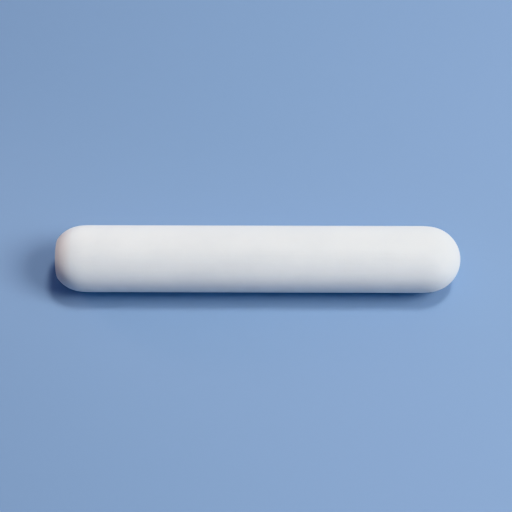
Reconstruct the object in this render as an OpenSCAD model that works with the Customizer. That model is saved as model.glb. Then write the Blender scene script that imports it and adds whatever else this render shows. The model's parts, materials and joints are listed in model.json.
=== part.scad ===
// Magnetic stir bar: a rod magnet sealed inside a one-piece moulded jacket.
// The bar lies along X with its middle at the origin: +X is the hemispherical end,
// -X the blunt end, +Z up. All sizes are in millimetres.

/* [Bar] */
// Overall length, tip to tip
bar_length = 60; // [40:1:100]
// Outside diameter of the straight barrel
bar_d = 10; // [8:0.5:14]

/* [Blunt end] */
// Diameter of the flat part of the face that closes the -X end
blunt_face_d = 5; // [3:0.1:7]
// Radius of the round between the flat face and the shoulder
face_edge_r = 1; // [0.2:0.1:2]
// Radius of the shoulder that swells from that round out to the barrel
shoulder_r = 4.75; // [4:0.05:5]

/* [Jacket walls] */
// Wall between the magnet's side and the outside of the barrel
side_wall = 1.45; // [0.8:0.05:2.5]
// Solid material between the magnet and the tip of the hemispherical end
round_tip_wall = 4.95; // [3:0.05:9]
// Solid material between the magnet and the blunt face
blunt_tip_wall = 4.95; // [3:0.05:9]

/* [Magnet] */
// Gap left all round the magnet inside the jacket
core_clearance = 0.05; // [0.02:0.01:0.2]
// Leg of the 45 degree bevel on each end edge of the magnet
magnet_bevel = 0.5; // [0.2:0.1:1]

/* [Smoothness] */
// Steps to a full circle
$fn = 96; // [48:16:192]

/* [Hidden] */

bar_r = bar_d / 2;
round_tip = bar_length / 2;
blunt_tip = -bar_length / 2;

// The hemisphere takes over from the barrel one barrel radius before its tip.
round_start = round_tip - bar_r;

// The round at the face's edge is tangent to the flat face, at the rim of the flat.
edge_centre_r = blunt_face_d / 2;
edge_centre = blunt_tip + face_edge_r;

// The shoulder arc is tangent to the barrel and holds the edge round inside it, so
// its centre is shoulder_r in from the barrel's wall and the two centres are the
// difference of their radii apart.
shoulder_centre_r = bar_r - shoulder_r;
centres_apart = shoulder_r - face_edge_r;
centres_rise = sqrt(pow(centres_apart, 2) - pow(edge_centre_r - shoulder_centre_r, 2));
shoulder_start = edge_centre + centres_rise;

// The two arcs meet on the line through their centres.
arcs_meet = shoulder_start - centres_rise * shoulder_r / centres_apart;

// The magnet fills what the walls and the clearance leave.
magnet_r = bar_r - side_wall - core_clearance;
magnet_from = blunt_tip + blunt_tip_wall + core_clearance;
magnet_to = round_tip - round_tip_wall - core_clearance;

// Turns a half section, drawn as radius across and length up, into a solid along X.
module turned_along_x() {
    rotate([0, 90, 0])
        rotate_extrude()
            children();
}

// Rectangle from the axis out to a radius, between two stations of the length.
module band(radius, from, to) {
    polygon([[0, from], [radius, from], [radius, to], [0, to]]);
}

// The part of a section that lies between two stations of the length.
module slice(from, to) {
    intersection() {
        band(bar_d, from, to);
        children();
    }
}

// Half section of the outside: flat face, edge round, shoulder, barrel, hemisphere.
module outside_section() {
    band(edge_centre_r, blunt_tip, arcs_meet);
    slice(-bar_length, arcs_meet)
        translate([edge_centre_r, edge_centre])
            circle(r = face_edge_r);
    slice(arcs_meet, shoulder_start)
        translate([shoulder_centre_r, shoulder_start])
            circle(r = shoulder_r);
    band(bar_r, shoulder_start, round_start);
    slice(round_start, bar_length)
        translate([0, round_start])
            circle(r = bar_r);
}

// Half section of the bevelled rod, grown outwards by an even gap.
module rod_section(gap) {
    bevel = magnet_bevel + gap * (2 - sqrt(2));
    radius = magnet_r + gap;
    from = magnet_from - gap;
    to = magnet_to + gap;
    polygon([
        [0, from],
        [radius - bevel, from],
        [radius, from + bevel],
        [radius, to - bevel],
        [radius - bevel, to],
        [0, to]
    ]);
}

// The white jacket: the outside form with a sealed cavity for the magnet.
module ptfe_jacket() {
    color("whitesmoke")
        difference() {
            turned_along_x()
                outside_section();
            turned_along_x()
                rod_section(core_clearance);
        }
}

// The rod magnet that the drive magnet under the vessel turns.
module magnet_core() {
    color("dimgray")
        turned_along_x()
            rod_section(0);
}

ptfe_jacket();
magnet_core();
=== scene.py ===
"""A magnetic stir bar lying on a pale blue studio floor.

The bar is a rod magnet sealed in a one-piece white moulded jacket, round at its +X end
and blunt at its -X end. The jacket is remade here as a fine surface of revolution, with
bends that ease out of the barrel and the small unevenness of a moulding, and the magnet
keeps its CAD mesh. Lengths are in metres, in the CAD model's own frame.
"""

import json
import math

import bpy
import numpy as np
from mathutils import Matrix, Vector


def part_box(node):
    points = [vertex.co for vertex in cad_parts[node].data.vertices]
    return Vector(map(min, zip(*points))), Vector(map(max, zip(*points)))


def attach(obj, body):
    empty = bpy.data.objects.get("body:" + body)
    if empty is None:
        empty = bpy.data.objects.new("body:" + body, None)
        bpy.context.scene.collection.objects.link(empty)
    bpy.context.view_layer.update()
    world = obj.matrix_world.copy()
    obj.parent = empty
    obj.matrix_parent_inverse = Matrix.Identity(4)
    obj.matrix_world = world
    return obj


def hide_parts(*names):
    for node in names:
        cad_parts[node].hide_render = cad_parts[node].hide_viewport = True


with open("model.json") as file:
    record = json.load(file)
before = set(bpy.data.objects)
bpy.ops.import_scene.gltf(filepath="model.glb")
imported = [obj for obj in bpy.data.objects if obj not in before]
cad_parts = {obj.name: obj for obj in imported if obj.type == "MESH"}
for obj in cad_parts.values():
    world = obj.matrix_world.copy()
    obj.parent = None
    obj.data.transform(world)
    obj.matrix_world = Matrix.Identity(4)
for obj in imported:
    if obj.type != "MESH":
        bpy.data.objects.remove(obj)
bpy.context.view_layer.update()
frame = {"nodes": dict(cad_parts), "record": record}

MM = 0.001

# ---------------------------------------------------------------- sizes of the bar

jacket_low, jacket_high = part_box("ptfe_jacket")
magnet_low, magnet_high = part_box("magnet_core")
barrel = next(mount for mount in frame["record"]["mounts"] if mount["name"] == "barrel")

BAR_RADIUS = barrel["dims"]["r_mm"] * MM
ROUND_TIP = jacket_high.x
BLUNT_TIP = jacket_low.x

# The blunt end: a flat face, a small edge round, then a shoulder swelling to the barrel.
# The shoulder's turn is the angle in degrees between its start and the barrel's wall.
FACE_RADIUS = 2.5 * MM
EDGE_ROUND = 1.0 * MM
SHOULDER_TURN = 53.1

# The share of each bend over which it eases out of the barrel's straight wall.
SHOULDER_EASE = 0.55
ROUND_EASE = 0.35

# The cavity clears the magnet by an even gap, and follows its bevelled edges.
CORE_CLEARANCE = 0.05 * MM
MAGNET_BEVEL = 0.5 * MM

# The deepest that the moulding sinks below its true form, and the length over which each
# of its three slow waves runs on by one radian. The long and three-lobed waves start part
# of a turn on, in radians, and the three-lobed one has a share of the others' height.
UNEVEN_DEPTH = 0.02 * MM
LONG_WAVE = 9.0 * MM
LONG_WAVE_START = 0.8
OVAL_WAVE = 21.0 * MM
THREE_WAVE = 13.0 * MM
THREE_WAVE_START = 1.9
THREE_WAVE_SHARE = 0.6

# How finely the surfaces are cut: steps round the bar, and rings along each stretch.
STEPS_AROUND = 288
FACE_RINGS = 24
EDGE_RINGS = 12
SHOULDER_RINGS = 48
BARREL_RINGS = 96
ROUND_RINGS = 64
CAVITY_STEPS = 96

# ---------------------------------------------------------------- surfaces


def arc(centre, radius, start, end, steps):
    """Points on a circle, as (along, out), with the angle running evenly from start to
    end in degrees. Along is the centre's plus the radius times the angle's sine, and
    out is the centre's plus the radius times its cosine, so 0 points straight out, 90
    along the axis and -90 back along it."""
    turn = np.radians(np.linspace(start, end, steps))
    along = centre[0] + radius * np.sin(turn)
    out = centre[1] + radius * np.cos(turn)
    return np.column_stack([along, out])


def straight(start, end, steps):
    """Evenly spaced points on the straight line between two (along, out) points."""
    share = np.linspace(0.0, 1.0, steps)[:, None]
    return np.array(start) * (1.0 - share) + np.array(end) * share


def eased_bend(drop, turn, ease, steps):
    """A bend that leaves a straight wall gently, as (along, inward) from where it leaves.

    Its curvature grows evenly from none over the first share of its length, which is
    ease, and then holds. The heading is the running sum of the curvature, stretched to
    end at the turn in degrees, and the place is the running sum of the heading's
    cosine and sine, scaled so that the bend ends the drop below the wall."""
    share = np.linspace(0.0, 1.0, steps)
    curvature = np.minimum(share / ease, 1.0)
    heading = np.append(0.0, np.cumsum(curvature[1:] + curvature[:-1]))
    heading *= math.radians(turn) / heading[-1]
    midway = (heading[1:] + heading[:-1]) / 2.0
    along = np.append(0.0, np.cumsum(np.cos(midway)))
    inward = np.append(0.0, np.cumsum(np.sin(midway)))
    return np.column_stack([along, inward]) * drop / inward[-1]


def turned(profile, steps):
    """Turns an outline of (along, out) points round the X axis.

    A ring's point stands at out times the sine of its turn along Y and out times the
    cosine along Z. The first and last points lie on the axis, so each is one vertex,
    closed by a fan of triangles, and quads join each ring to the next and round. The
    faces look away from the axis where the outline runs towards +X."""
    turn = np.linspace(0.0, 2.0 * np.pi, steps, endpoint=False)
    rings = profile[1:-1]
    along = np.repeat(rings[:, :1], steps, axis=1)
    across = rings[:, 1:] * np.sin(turn)
    up = rings[:, 1:] * np.cos(turn)
    body = np.stack([along, across, up], axis=-1).reshape(-1, 3)
    poles = np.array([(profile[0, 0], 0.0, 0.0), (profile[-1, 0], 0.0, 0.0)])
    points = np.vstack([body, poles])

    here = np.arange(steps)
    after = (here + 1) % steps
    first = (np.arange(len(rings) - 1) * steps)[:, None]
    quads = np.stack(
        [first + here, first + steps + here, first + steps + after, first + after], axis=-1
    ).reshape(-1, 4)
    last = (len(rings) - 1) * steps
    near_fan = np.column_stack([np.full(steps, len(body)), here, after])
    far_fan = np.column_stack([np.full(steps, len(body) + 1), last + after, last + here])
    return points, quads, np.vstack([near_fan, far_fan])


def mesh_piece(name, shells):
    """One object from several closed shells of (points, quads, triangles)."""
    points, faces = [], []
    base = 0
    for shell_points, quads, triangles in shells:
        points.append(shell_points)
        faces += (quads + base).tolist()
        faces += (triangles + base).tolist()
        base += len(shell_points)
    mesh = bpy.data.meshes.new(name)
    mesh.from_pydata(np.vstack(points).tolist(), [], faces)
    mesh.shade_smooth()
    mesh.validate()
    piece = bpy.data.objects.new(name, mesh)
    bpy.context.scene.collection.objects.link(piece)
    return piece


# ---------------------------------------------------------------- the jacket


def outside_profile():
    """The jacket's outline from the middle of the blunt face to the round tip.

    The edge round touches the flat face at its rim and hands over to the shoulder where
    their headings agree. The shoulder eases into the barrel, and the barrel eases into
    the round end, which is within a tenth of a millimetre of a hemisphere."""
    edge = arc((BLUNT_TIP + EDGE_ROUND, FACE_RADIUS), EDGE_ROUND, -90.0, -SHOULDER_TURN, EDGE_RINGS)
    meet_along, meet_out = edge[-1]
    shoulder = eased_bend(BAR_RADIUS - meet_out, SHOULDER_TURN, SHOULDER_EASE, SHOULDER_RINGS)[::-1]
    round_end = eased_bend(BAR_RADIUS, 90.0, ROUND_EASE, ROUND_RINGS)
    barrel_start = (meet_along + shoulder[0, 0], BAR_RADIUS)
    barrel_end = (ROUND_TIP - round_end[-1, 0], BAR_RADIUS)
    runs = [
        straight((BLUNT_TIP, 0.0), (BLUNT_TIP, FACE_RADIUS), FACE_RINGS),
        edge[1:],
        barrel_start - shoulder[1:],
        straight(barrel_start, barrel_end, BARREL_RINGS)[1:],
        barrel_end + round_end[1:] * (1.0, -1.0),
    ]
    return np.vstack(runs)


def cavity_profile():
    """The sealed cavity's outline, from its +X end to its -X end, so that the turned
    surface faces into the cavity. It is the magnet's bevelled rod grown by the gap, which
    makes the bevel's leg longer by the gap times two less the root of two."""
    radius = magnet_high.z + CORE_CLEARANCE
    bevel = MAGNET_BEVEL + CORE_CLEARANCE * (2.0 - math.sqrt(2.0))
    start = magnet_high.x + CORE_CLEARANCE
    end = magnet_low.x - CORE_CLEARANCE
    return np.array([
        (start, 0.0),
        (start, radius - bevel),
        (start - bevel, radius),
        (end + bevel, radius),
        (end, radius - bevel),
        (end, 0.0),
    ])


def uneven(points):
    """The moulding's own unevenness: every point sinks towards the axis, by the uneven
    depth at most, as the sum of three slow waves: one along the bar, one with two lobes
    round it and a weaker one with three. Their highest possible sum is added to them,
    so the sink is never negative and the jacket stays inside its true form."""
    along, across, up = points.T
    turn = np.arctan2(across, up)
    long_wave = np.sin(along / LONG_WAVE + LONG_WAVE_START)
    oval_wave = np.sin(2.0 * turn + along / OVAL_WAVE)
    three_wave = THREE_WAVE_SHARE * np.sin(3.0 * turn - along / THREE_WAVE + THREE_WAVE_START)
    highest = 1.0 + 1.0 + THREE_WAVE_SHARE
    sink = UNEVEN_DEPTH * (highest + long_wave + oval_wave + three_wave) / (2.0 * highest)
    keep = 1.0 - sink / BAR_RADIUS
    return np.column_stack([along, across * keep, up * keep])


def build_jacket():
    """The white jacket: its uneven outside and the sealed cavity inside it."""
    points, quads, triangles = turned(outside_profile(), STEPS_AROUND)
    outside = (uneven(points), quads, triangles)
    cavity = turned(cavity_profile(), CAVITY_STEPS)
    return mesh_piece("jacket", [outside, cavity])


# ---------------------------------------------------------------- materials


# The Mix node holds sockets for numbers, directions and colours side by side. These are
# the places of its colour ones.
MIX_FIRST_COLOUR = 6
MIX_SECOND_COLOUR = 7
MIX_MIXED_COLOUR = 2

# Nearly all of a noise's values lie between these two.
NOISE_LOW = 0.3
NOISE_HIGH = 0.7


class Finish:
    """A material's node tree, with one short call for each kind of node."""

    def __init__(self, name):
        self.material = bpy.data.materials.new(name)
        self.material.use_nodes = True
        self.nodes = self.material.node_tree.nodes
        self.links = self.material.node_tree.links
        self.shader = self.nodes["Principled BSDF"]
        self.place = self.nodes.new("ShaderNodeTexCoord").outputs["Object"]

    def stretched(self, scale):
        """Object coordinates with each axis multiplied by its own number."""
        node = self.nodes.new("ShaderNodeMapping")
        node.inputs["Scale"].default_value = scale
        self.links.new(self.place, node.inputs["Vector"])
        return node.outputs["Vector"]

    def along_bar(self):
        """How far along the bar a point is: its X coordinate."""
        node = self.nodes.new("ShaderNodeSeparateXYZ")
        self.links.new(self.place, node.inputs["Vector"])
        return node.outputs["X"]

    def noise(self, place, lump, detail, roughness):
        """Soft noise of 0..1 whose lumps are about one lump across."""
        node = self.nodes.new("ShaderNodeTexNoise")
        node.inputs["Scale"].default_value = 1.0 / lump
        node.inputs["Detail"].default_value = detail
        node.inputs["Roughness"].default_value = roughness
        self.links.new(place, node.inputs["Vector"])
        return node.outputs["Fac"]

    def spread(self, value, low, high, new_low, new_high):
        """Maps low..high evenly onto new_low..new_high, and holds it at both ends."""
        node = self.nodes.new("ShaderNodeMapRange")
        node.inputs["From Min"].default_value = low
        node.inputs["From Max"].default_value = high
        node.inputs["To Min"].default_value = new_low
        node.inputs["To Max"].default_value = new_high
        self.links.new(value, node.inputs["Value"])
        return node.outputs["Result"]

    def mix(self, share, first, second):
        """A colour between two others; either may be a colour or a node's output."""
        node = self.nodes.new("ShaderNodeMix")
        node.data_type = "RGBA"
        self.links.new(share, node.inputs["Factor"])
        for number, colour in ((MIX_FIRST_COLOUR, first), (MIX_SECOND_COLOUR, second)):
            if isinstance(colour, tuple):
                node.inputs[number].default_value = colour
            else:
                self.links.new(colour, node.inputs[number])
        return node.outputs[MIX_MIXED_COLOUR]

    def bump(self, height, distance, under=None):
        """Tilts the surface by a height of 0..1 times distance, on top of another bump."""
        node = self.nodes.new("ShaderNodeBump")
        node.inputs["Distance"].default_value = distance
        self.links.new(height, node.inputs["Height"])
        if under is not None:
            self.links.new(under, node.inputs["Normal"])
        return node.outputs["Normal"]

    def join(self, output, socket):
        """Feeds one of the shader's sockets from a node's output."""
        self.links.new(output, self.shader.inputs[socket])


# The jacket's clouds of lighter white, its draw marks and its pressed grain. A mark's
# width is this share of its length.
CLOUD_SIZE = 7.0 * MM
DRAW_MARK_WIDTH = 0.4 * MM
DRAW_MARK_SLIMNESS = 0.03
DRAW_MARK_DEPTH = 0.012 * MM
GRAIN_SIZE = 0.2 * MM
GRAIN_DEPTH = 0.010 * MM

# The blunt end carries a painted warm reflection: a faint cream tint standing in for warm
# light falling on it, fading out between these two distances from its tip.
PAINTED_WARMTH_FROM = 0.6 * MM
PAINTED_WARMTH_TO = 2.6 * MM

# How far light is carried under the jacket's skin.
GLOW_DEPTH = 0.6 * MM


def sintered_ptfe():
    """Matt white sintered fluoropolymer: cloudy white, waxy, with faint draw marks
    along the bar, a fine pressed grain and a little light carried under the skin."""
    ptfe = Finish("sintered_ptfe")
    cloud = ptfe.noise(ptfe.place, CLOUD_SIZE, 4.0, 0.55)
    drawn_out = ptfe.stretched((DRAW_MARK_SLIMNESS, 1.0, 1.0))
    draw = ptfe.noise(drawn_out, DRAW_MARK_WIDTH, 3.0, 0.6)
    grain = ptfe.noise(ptfe.place, GRAIN_SIZE, 2.0, 0.6)
    dull_white = (0.835, 0.838, 0.832, 1.0)
    clear_white = (0.885, 0.885, 0.872, 1.0)
    # A faint cream, painted on as the warm reflected light on the blunt end.
    painted_warmth = (0.85, 0.765, 0.71, 1.0)
    in_cloud = ptfe.spread(cloud, NOISE_LOW, NOISE_HIGH, 0.0, 1.0)
    white = ptfe.mix(in_cloud, dull_white, clear_white)
    # Painted warm reflection: the cream tint on the blunt end fades into the white.
    fade_from = BLUNT_TIP + PAINTED_WARMTH_FROM
    fade_to = BLUNT_TIP + PAINTED_WARMTH_TO
    painted_warmth_gone = ptfe.spread(ptfe.along_bar(), fade_from, fade_to, 0.0, 1.0)
    ptfe.join(ptfe.mix(painted_warmth_gone, painted_warmth, white), "Base Color")
    ptfe.join(ptfe.spread(draw, NOISE_LOW, NOISE_HIGH, 0.44, 0.56), "Roughness")
    marks = ptfe.bump(draw, DRAW_MARK_DEPTH)
    ptfe.join(ptfe.bump(grain, GRAIN_DEPTH, under=marks), "Normal")
    ptfe.shader.inputs["IOR"].default_value = 1.35
    ptfe.shader.inputs["Diffuse Roughness"].default_value = 0.8
    ptfe.shader.inputs["Subsurface Weight"].default_value = 0.2
    ptfe.shader.inputs["Subsurface Radius"].default_value = (1.0, 0.95, 0.9)
    ptfe.shader.inputs["Subsurface Scale"].default_value = GLOW_DEPTH
    return ptfe.material


# The magnet's grinding lines, whose width is a share of their length, and its casting
# pores. A pore lies where its noise is low, and gives way to ground metal between two
# values of it.
GRINDING_LINE_WIDTH = 0.11 * MM
GRINDING_LINE_SLIMNESS = 0.02
GRINDING_LINE_DEPTH = 0.01 * MM
PORE_SIZE = 0.67 * MM
PORE_DEPTH = 0.03 * MM
PORE_ENDS = 0.32
GROUND_STARTS = 0.45


def magnet_alloy():
    """Cast and ground magnet alloy: dull grey metal with grinding lines round the rod
    and the coarser, darker pores of a casting."""
    alloy = Finish("ground_magnet_alloy")
    drawn_round = alloy.stretched((1.0, GRINDING_LINE_SLIMNESS, GRINDING_LINE_SLIMNESS))
    lines = alloy.noise(drawn_round, GRINDING_LINE_WIDTH, 3.0, 0.65)
    pores = alloy.noise(alloy.place, PORE_SIZE, 4.0, 0.6)
    ground_grey = (0.40, 0.39, 0.375, 1.0)
    pore_grey = (0.16, 0.15, 0.14, 1.0)
    in_pore = alloy.spread(pores, PORE_ENDS, GROUND_STARTS, 1.0, 0.0)
    alloy.join(alloy.mix(in_pore, ground_grey, pore_grey), "Base Color")
    alloy.join(alloy.spread(lines, NOISE_LOW, NOISE_HIGH, 0.34, 0.58), "Roughness")
    ground = alloy.bump(lines, GRINDING_LINE_DEPTH)
    alloy.join(alloy.bump(pores, PORE_DEPTH, under=ground), "Normal")
    alloy.shader.inputs["Metallic"].default_value = 1.0
    return alloy.material


def floor_paint():
    """Plain pale blue-grey paint for the studio floor."""
    paint = Finish("pale_floor_paint")
    paint.shader.inputs["Base Color"].default_value = (0.27, 0.40, 0.61, 1.0)
    paint.shader.inputs["Roughness"].default_value = 0.8
    return paint.material


# ---------------------------------------------------------------- the studio

# The floor's level part, and the sweep that rises from its edge through this many
# degrees. Places, sizes and distances in the studio are in metres.
FLOOR_LEVEL_RADIUS = 0.45
FLOOR_SWEEP_RADIUS = 0.45
FLOOR_SWEEP_TURN = 80.0
FLOOR_THICKNESS = 5.0 * MM
FLOOR_SWEEP_RINGS = 24
FLOOR_STEPS = 96


def build_floor():
    """A dish: level where the bar lies, then rising in a circular sweep, so no hard
    horizon shows from any side. Its outline runs from the middle of the underside out
    and up to the rim, and back down the sweep to the middle of the top. The bar's axis
    is X and the dish's is Z, so its turned points have their axes moved round by one."""
    sweep_centre = (FLOOR_SWEEP_RADIUS, FLOOR_LEVEL_RADIUS)
    rim = 90.0 + FLOOR_SWEEP_TURN
    top = arc(sweep_centre, -FLOOR_SWEEP_RADIUS, 90.0, rim, FLOOR_SWEEP_RINGS)
    below = arc(sweep_centre, -FLOOR_SWEEP_RADIUS - FLOOR_THICKNESS, 90.0, rim, FLOOR_SWEEP_RINGS)
    profile = np.vstack([(-FLOOR_THICKNESS, 0.0), below, top[::-1], (0.0, 0.0)])
    points, quads, triangles = turned(profile, FLOOR_STEPS)
    points = points[:, [1, 2, 0]] + (0.0, 0.0, jacket_low.z)
    floor = mesh_piece("floor", [(points, quads, triangles)])
    floor.data.materials.append(floor_paint())


def soft_light(name, place, size, power, colour, facing, spread=180.0):
    """A round soft box that stands at a place and faces a point. Its size is the width
    of the box, its power is in watts, and a grid over the box narrows its beam to the
    spread in degrees."""
    data = bpy.data.lights.new(name, "AREA")
    data.shape = "DISK"
    data.size = size
    data.energy = power
    data.spread = math.radians(spread)
    data.color = colour
    lamp = bpy.data.objects.new(name, data)
    lamp.location = place
    lamp.rotation_mode = "QUATERNION"
    lamp.rotation_quaternion = (Vector(place) - facing).to_track_quat("Z", "Y")
    lamp.visible_camera = False
    bpy.context.scene.collection.objects.link(lamp)


# The two points of the bar that lights face.
BAR_MIDDLE = Vector((0.0, 0.0, 0.0))
BLUNT_END = Vector((BLUNT_TIP, 0.0, 0.0))

KEY_WHITE = (0.985, 1.0, 0.965)
FAINT_VIOLET = (0.95, 0.86, 1.0)
FAINT_BLUE = (0.75, 0.85, 1.0)
WARM_PINK = (1.0, 0.70, 0.56)
PLAIN_WHITE = (1.0, 1.0, 1.0)

# The warm box has a grid that narrows its beam to this many degrees.
WARM_BEAM = 40.0

# Each sweep light stands this far out and up, and faces a point this far out, at the
# height of the bar's middle.
SWEEP_LIGHT_STAND = 0.35
SWEEP_LIGHT_REACH = 0.90
SWEEP_LIGHT_SIZE = 0.40
SWEEP_LIGHT_POWER = 1.0


def build_lights():
    """Two keys whose shadows cross in a dark wedge under the blunt end: one on the right
    and a little in front, which throws its shadow to the left, and one overhead, a
    little to the right and behind, which throws its shadow forwards. Broad dim boxes
    overhead and behind soften the rest, and a small warm one behind on the left warms
    the blunt end. Four more, with their backs to the bar, light the floor's sweep for
    the low views."""
    soft_light("right_key", (0.272, -0.070, 0.312), 0.22, 1.16, KEY_WHITE, BAR_MIDDLE)
    soft_light("overhead_key", (0.095, 0.070, 0.486), 0.090, 0.94, KEY_WHITE, BAR_MIDDLE)
    soft_light("overhead_fill", (0.030, 0.060, 0.596), 1.20, 0.50, FAINT_VIOLET, BAR_MIDDLE)
    soft_light("back_fill", (0.060, 0.358, 0.478), 0.70, 0.25, FAINT_BLUE, BAR_MIDDLE)
    warm_place = (-0.105, 0.050, 0.040)
    soft_light("warm_box", warm_place, 0.02, 0.0007, WARM_PINK, BLUNT_END, WARM_BEAM)
    for number, (x, y) in enumerate([(1.0, 0.0), (0.0, 1.0), (-1.0, 0.0), (0.0, -1.0)]):
        out = Vector((x, y, 0.0))
        stand = out * SWEEP_LIGHT_STAND + Vector((0.0, 0.0, SWEEP_LIGHT_STAND))
        facing = out * SWEEP_LIGHT_REACH
        name = f"sweep_light_{number}"
        soft_light(name, stand, SWEEP_LIGHT_SIZE, SWEEP_LIGHT_POWER, PLAIN_WHITE, facing)


SKY_COLOUR = (0.62, 0.58, 1.0, 1.0)
SKY_STRENGTH = 0.08


def build_sky():
    """A faint violet-blue glow from all round, so that no shadow is quite black."""
    world = bpy.data.worlds.new("studio_sky")
    world.use_nodes = True
    sky = world.node_tree.nodes["Background"]
    sky.inputs["Color"].default_value = SKY_COLOUR
    sky.inputs["Strength"].default_value = SKY_STRENGTH
    bpy.context.scene.world = world


# The camera's height over the level and its roll are in degrees, and its lens is in
# millimetres. It aims a little to the left of the bar's middle, and a little above it.
CAMERA_ELEVATION = 60.0
CAMERA_DISTANCE = 0.2119
CAMERA_ROLL = 0.15
CAMERA_LENS = 100.0
CAMERA_SEES_FROM = 10.0 * MM
AIM_RIGHT = -0.39 * MM
AIM_UP = 0.46 * MM


def build_camera():
    """The camera looks steeply down across the bar's middle, +X to the right."""
    elevation = math.radians(CAMERA_ELEVATION)
    back = Vector((0.0, -math.cos(elevation), math.sin(elevation)))
    right = Vector((1.0, 0.0, 0.0))
    up = back.cross(right)
    data = bpy.data.cameras.new("camera")
    data.lens = CAMERA_LENS
    data.clip_start = CAMERA_SEES_FROM
    camera = bpy.data.objects.new("camera", data)
    roll = Matrix.Rotation(math.radians(CAMERA_ROLL), 3, back)
    camera.rotation_mode = "QUATERNION"
    camera.rotation_quaternion = (roll @ back.to_track_quat("Z", "Y").to_matrix()).to_quaternion()
    camera.location = AIM_RIGHT * right + AIM_UP * up + CAMERA_DISTANCE * back
    bpy.context.scene.collection.objects.link(camera)
    bpy.context.scene.camera = camera


# ---------------------------------------------------------------- putting it together

build_camera()
build_lights()
build_sky()
build_floor()

jacket = build_jacket()
jacket.data.materials.append(sintered_ptfe())
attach(jacket, "root")
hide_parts("ptfe_jacket")

magnet = frame["nodes"]["magnet_core"]
magnet.data.materials.clear()
magnet.data.materials.append(magnet_alloy())

bpy.context.scene.view_settings.view_transform = "Khronos PBR Neutral"
